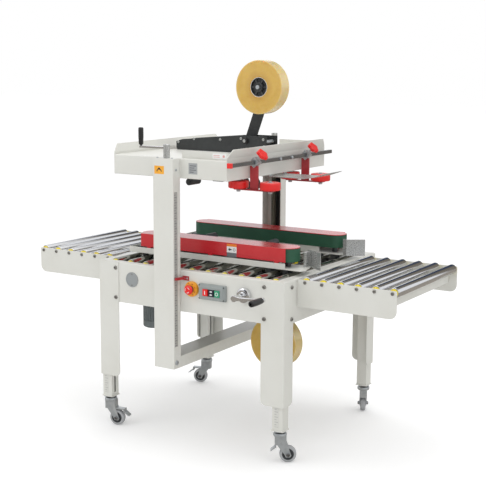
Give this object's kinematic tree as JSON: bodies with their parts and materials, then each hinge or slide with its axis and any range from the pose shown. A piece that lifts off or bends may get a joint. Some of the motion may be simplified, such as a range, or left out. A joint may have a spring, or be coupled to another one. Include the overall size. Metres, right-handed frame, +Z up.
{
  "type": "carton sealer machine",
  "caption": "Side-belt carton sealer: cream roller bed on braked casters, end conveyors, red-covered side belts, portal mast with tape head above and below.",
  "frame": {"origin": "on the floor, at the middle of the machine's footprint box (wheel bottoms are at z = 0; the conveyor's centreline is 56.25 mm towards +Y from the origin)", "axes": "+X along the conveyor towards the infeed end, +Y away from the operator's side with the crank and switches, +Z up"},
  "size_m": [1.68, 0.9748, 1.4975],
  "materials": {
    "caster_tyre": "matte grey",
    "chromed_roller": "polished",
    "cream_paint": "satin powder coat",
    "dark_red_paint": "gloss",
    "dark_steel": "black semi gloss",
    "green_belt": "matte",
    "green_plastic": "gloss",
    "red_paint": "satin powder coat",
    "red_plastic": "gloss",
    "stainless": "brushed",
    "tape_amber": "translucent gloss",
    "yellow_plastic": "gloss",
    "zinc": "zinc plated"
  },
  "bodies": {
    "bed": {"bed_panels": "cream_paint", "outer_legs": "cream_paint", "conveyor_frames": "cream_paint", "panel_hardware": "zinc", "control_panel": "yellow_plastic", "bed_rollers": "chromed_roller", "bed_guides": "zinc", "lower_tape_head": "dark_steel"},
    "infeed_roller_1": {"infeed_roller_1": "chromed_roller"},
    "infeed_roller_2": {"infeed_roller_2": "chromed_roller"},
    "infeed_roller_3": {"infeed_roller_3": "chromed_roller"},
    "infeed_roller_4": {"infeed_roller_4": "chromed_roller"},
    "infeed_roller_5": {"infeed_roller_5": "chromed_roller"},
    "infeed_roller_6": {"infeed_roller_6": "chromed_roller"},
    "outfeed_roller_1": {"outfeed_roller_1": "chromed_roller"},
    "outfeed_roller_2": {"outfeed_roller_2": "chromed_roller"},
    "outfeed_roller_3": {"outfeed_roller_3": "chromed_roller"},
    "outfeed_roller_4": {"outfeed_roller_4": "chromed_roller"},
    "outfeed_roller_5": {"outfeed_roller_5": "chromed_roller"},
    "outfeed_roller_6": {"outfeed_roller_6": "chromed_roller"},
    "inner_legs": {"inner_legs": "cream_paint"},
    "caster_fork_infeed_near": {"caster_fork_infeed_near": "zinc"},
    "caster_wheel_infeed_near": {"caster_wheel_infeed_near": "caster_tyre"},
    "caster_fork_outfeed_near": {"caster_fork_outfeed_near": "zinc"},
    "caster_wheel_outfeed_near": {"caster_wheel_outfeed_near": "caster_tyre"},
    "caster_fork_infeed_far": {"caster_fork_infeed_far": "zinc"},
    "caster_wheel_infeed_far": {"caster_wheel_infeed_far": "caster_tyre"},
    "caster_fork_outfeed_far": {"caster_fork_outfeed_far": "zinc"},
    "caster_wheel_outfeed_far": {"caster_wheel_outfeed_far": "caster_tyre"},
    "estop_button": {"estop_button": "red_plastic"},
    "stop_button": {"stop_button": "red_plastic"},
    "start_button": {"start_button": "green_plastic"},
    "width_crank": {"width_crank": "zinc"},
    "belt_unit_near": {"belt_base_near": "cream_paint", "belt_cover_near": "red_paint", "side_belt_near": "green_belt"},
    "drive_drum_near": {"drive_drum_near": "zinc"},
    "belt_unit_far": {"belt_base_far": "cream_paint", "belt_cover_far": "red_paint", "side_belt_far": "green_belt"},
    "drive_drum_far": {"drive_drum_far": "zinc"},
    "mast": {"mast_columns": "cream_paint", "top_frame": "cream_paint", "press_bar": "zinc", "top_tape_head": "dark_steel", "flap_guide": "stainless"},
    "mast_crank": {"mast_crank": "zinc"},
    "far_lead_screw": {"far_lead_screw": "zinc"},
    "top_front_arm": {"top_front_arm": "dark_steel"},
    "top_rear_arm": {"top_rear_arm": "dark_steel"},
    "lower_front_arm": {"lower_front_arm": "dark_steel"},
    "lower_rear_arm": {"lower_rear_arm": "dark_steel"},
    "top_tape_roll": {"top_tape_roll": "tape_amber"},
    "bottom_tape_roll": {"bottom_tape_roll": "tape_amber"},
    "press_arm_near": {"press_arm_near": "dark_red_paint"},
    "press_wheel_near_front": {"press_wheel_near_front": "red_plastic"},
    "press_wheel_near_rear": {"press_wheel_near_rear": "red_plastic"},
    "press_arm_far": {"press_arm_far": "dark_red_paint"},
    "press_wheel_far_front": {"press_wheel_far_front": "red_plastic"},
    "press_wheel_far_rear": {"press_wheel_far_rear": "red_plastic"}
  },
  "joints": [
    {"name": "infeed_roller_1_spin", "type": "hinge", "parent": "bed", "child": "infeed_roller_1", "pos_m": [0.821, 0.05625, 0.6842], "axis": [0, 1, 0], "continuous": true},
    {"name": "infeed_roller_2_spin", "type": "hinge", "parent": "bed", "child": "infeed_roller_2", "pos_m": [0.7502, 0.05625, 0.6842], "axis": [0, 1, 0], "continuous": true},
    {"name": "infeed_roller_3_spin", "type": "hinge", "parent": "bed", "child": "infeed_roller_3", "pos_m": [0.6794, 0.05625, 0.6842], "axis": [0, 1, 0], "continuous": true},
    {"name": "infeed_roller_4_spin", "type": "hinge", "parent": "bed", "child": "infeed_roller_4", "pos_m": [0.6086, 0.05625, 0.6842], "axis": [0, 1, 0], "continuous": true},
    {"name": "infeed_roller_5_spin", "type": "hinge", "parent": "bed", "child": "infeed_roller_5", "pos_m": [0.5378, 0.05625, 0.6842], "axis": [0, 1, 0], "continuous": true},
    {"name": "infeed_roller_6_spin", "type": "hinge", "parent": "bed", "child": "infeed_roller_6", "pos_m": [0.467, 0.05625, 0.6842], "axis": [0, 1, 0], "continuous": true},
    {"name": "outfeed_roller_1_spin", "type": "hinge", "parent": "bed", "child": "outfeed_roller_1", "pos_m": [-0.821, 0.05625, 0.6842], "axis": [0, 1, 0], "continuous": true},
    {"name": "outfeed_roller_2_spin", "type": "hinge", "parent": "bed", "child": "outfeed_roller_2", "pos_m": [-0.7502, 0.05625, 0.6842], "axis": [0, 1, 0], "continuous": true},
    {"name": "outfeed_roller_3_spin", "type": "hinge", "parent": "bed", "child": "outfeed_roller_3", "pos_m": [-0.6794, 0.05625, 0.6842], "axis": [0, 1, 0], "continuous": true},
    {"name": "outfeed_roller_4_spin", "type": "hinge", "parent": "bed", "child": "outfeed_roller_4", "pos_m": [-0.6086, 0.05625, 0.6842], "axis": [0, 1, 0], "continuous": true},
    {"name": "outfeed_roller_5_spin", "type": "hinge", "parent": "bed", "child": "outfeed_roller_5", "pos_m": [-0.5378, 0.05625, 0.6842], "axis": [0, 1, 0], "continuous": true},
    {"name": "outfeed_roller_6_spin", "type": "hinge", "parent": "bed", "child": "outfeed_roller_6", "pos_m": [-0.467, 0.05625, 0.6842], "axis": [0, 1, 0], "continuous": true},
    {"name": "leg_height", "type": "slide", "parent": "bed", "child": "inner_legs", "axis": [0, 0, -1], "range_m": [-0.05, 0.09]},
    {"name": "infeed_near_swivel", "type": "hinge", "parent": "inner_legs", "child": "caster_fork_infeed_near", "pos_m": [0.4065, -0.29775, 0.1235], "axis": [0, 0, 1], "continuous": true},
    {"name": "infeed_near_wheel_spin", "type": "hinge", "parent": "caster_fork_infeed_near", "child": "caster_wheel_infeed_near", "pos_m": [0.43194, -0.28185, 0.032], "axis": [-0.5299, 0.848, 0], "continuous": true},
    {"name": "outfeed_near_swivel", "type": "hinge", "parent": "inner_legs", "child": "caster_fork_outfeed_near", "pos_m": [-0.4065, -0.29775, 0.1235], "axis": [0, 0, 1], "continuous": true},
    {"name": "outfeed_near_wheel_spin", "type": "hinge", "parent": "caster_fork_outfeed_near", "child": "caster_wheel_outfeed_near", "pos_m": [-0.37716, -0.29151, 0.032], "axis": [-0.2079, 0.9781, 0], "continuous": true},
    {"name": "infeed_far_swivel", "type": "hinge", "parent": "inner_legs", "child": "caster_fork_infeed_far", "pos_m": [0.4065, 0.41025, 0.1235], "axis": [0, 0, 1], "continuous": true},
    {"name": "infeed_far_wheel_spin", "type": "hinge", "parent": "caster_fork_infeed_far", "child": "caster_wheel_infeed_far", "pos_m": [0.39242, 0.43674, 0.032], "axis": [-0.8829, -0.4695, 0], "continuous": true},
    {"name": "outfeed_far_swivel", "type": "hinge", "parent": "inner_legs", "child": "caster_fork_outfeed_far", "pos_m": [-0.4065, 0.41025, 0.1235], "axis": [0, 0, 1], "continuous": true},
    {"name": "outfeed_far_wheel_spin", "type": "hinge", "parent": "caster_fork_outfeed_far", "child": "caster_wheel_outfeed_far", "pos_m": [-0.43469, 0.39999, 0.032], "axis": [0.342, -0.9397, 0], "continuous": true},
    {"name": "estop_press", "type": "slide", "parent": "bed", "child": "estop_button", "axis": [0, 1, 0], "range_m": [0, 0.0035], "stiffness_N_per_m": 2000, "springref_m": -0.004},
    {"name": "stop_press", "type": "slide", "parent": "bed", "child": "stop_button", "axis": [0, 1, 0], "range_m": [0, 0.0025], "stiffness_N_per_m": 800, "springref_m": -0.003},
    {"name": "start_press", "type": "slide", "parent": "bed", "child": "start_button", "axis": [0, 1, 0], "range_m": [0, 0.0025], "stiffness_N_per_m": 800, "springref_m": -0.003},
    {"name": "width_crank_turn", "type": "hinge", "parent": "bed", "child": "width_crank", "pos_m": [0.26422, 0.05625, 0.631], "axis": [0, 1, 0], "range_deg": [-1980, 3600]},
    {"name": "belt_width_near", "type": "slide", "parent": "bed", "child": "belt_unit_near", "axis": [0, -1, 0], "range_m": [-0.0551, 0.1001]},
    {"name": "drive_drum_near_spin", "type": "hinge", "parent": "belt_unit_near", "child": "drive_drum_near", "pos_m": [-0.298, -0.13775, 0.742], "axis": [0, 0, 1], "continuous": true},
    {"name": "belt_width_far", "type": "slide", "parent": "bed", "child": "belt_unit_far", "axis": [0, 1, 0], "range_m": [-0.0551, 0.1001]},
    {"name": "drive_drum_far_spin", "type": "hinge", "parent": "belt_unit_far", "child": "drive_drum_far", "pos_m": [-0.298, 0.25025, 0.742], "axis": [0, 0, 1], "continuous": true},
    {"name": "mast_lift", "type": "slide", "parent": "bed", "child": "mast", "axis": [0, 0, 1], "range_m": [-0.19, 0.16]},
    {"name": "mast_crank_turn", "type": "hinge", "parent": "mast", "child": "mast_crank", "pos_m": [-0.0776, -0.34575, 1.128], "axis": [0, 0, 1], "range_deg": [-6844, 5764]},
    {"name": "far_screw_turn", "type": "hinge", "parent": "mast", "child": "far_lead_screw", "pos_m": [-0.0776, 0.45825, 1.128], "axis": [0, 0, 1], "range_deg": [-6844, 5764]},
    {"name": "top_front_arm_swing", "type": "hinge", "parent": "mast", "child": "top_front_arm", "pos_m": [0.01, 0.05625, 1.09], "axis": [0, -1, 0], "range_deg": [0, 36], "stiffness_Nm_per_rad": 3, "springref_deg": -22.92},
    {"name": "top_rear_arm_swing", "type": "hinge", "parent": "mast", "child": "top_rear_arm", "pos_m": [-0.176, 0.05625, 1.09], "axis": [0, 1, 0], "range_deg": [0, 36], "stiffness_Nm_per_rad": 3, "springref_deg": -22.92},
    {"name": "lower_front_arm_swing", "type": "hinge", "parent": "bed", "child": "lower_front_arm", "pos_m": [0.0955, 0.05625, 0.666], "axis": [0, 1, 0], "range_deg": [0, 36], "stiffness_Nm_per_rad": 3, "springref_deg": -22.92},
    {"name": "lower_rear_arm_swing", "type": "hinge", "parent": "bed", "child": "lower_rear_arm", "pos_m": [-0.0905, 0.05625, 0.666], "axis": [0, -1, 0], "range_deg": [0, 36], "stiffness_Nm_per_rad": 3, "springref_deg": -22.92},
    {"name": "top_tape_roll_spin", "type": "hinge", "parent": "mast", "child": "top_tape_roll", "pos_m": [0.103, 0.05625, 1.391], "axis": [0, 1, 0], "continuous": true},
    {"name": "bottom_tape_roll_spin", "type": "hinge", "parent": "bed", "child": "bottom_tape_roll", "pos_m": [0.179, 0.05625, 0.357], "axis": [0, 1, 0], "continuous": true},
    {"name": "press_arm_near_slide", "type": "slide", "parent": "mast", "child": "press_arm_near", "axis": [0, -1, 0], "range_m": [-0.1, 0.13]},
    {"name": "press_wheel_near_front_spin", "type": "hinge", "parent": "press_arm_near", "child": "press_wheel_near_front", "pos_m": [0.276, -0.16575, 1.01], "axis": [0, 0, 1], "continuous": true},
    {"name": "press_wheel_near_rear_spin", "type": "hinge", "parent": "press_arm_near", "child": "press_wheel_near_rear", "pos_m": [0.133, -0.16575, 1.01], "axis": [0, 0, 1], "continuous": true},
    {"name": "press_arm_far_slide", "type": "slide", "parent": "mast", "child": "press_arm_far", "axis": [0, 1, 0], "range_m": [-0.056, 0.17]},
    {"name": "press_wheel_far_front_spin", "type": "hinge", "parent": "press_arm_far", "child": "press_wheel_far_front", "pos_m": [0.276, 0.23425, 1.01], "axis": [0, 0, 1], "continuous": true},
    {"name": "press_wheel_far_rear_spin", "type": "hinge", "parent": "press_arm_far", "child": "press_wheel_far_rear", "pos_m": [0.133, 0.23425, 1.01], "axis": [0, 0, 1], "continuous": true}
  ],
  "couplings": [
    {"joint": "belt_width_near", "follows": "width_crank_turn", "m_per_rad": 0.0015915},
    {"joint": "belt_width_far", "follows": "width_crank_turn", "m_per_rad": 0.0015915},
    {"joint": "mast_crank_turn", "follows": "mast_lift", "rad_per_m": 628.32},
    {"joint": "far_screw_turn", "follows": "mast_lift", "rad_per_m": 628.32}
  ]
}
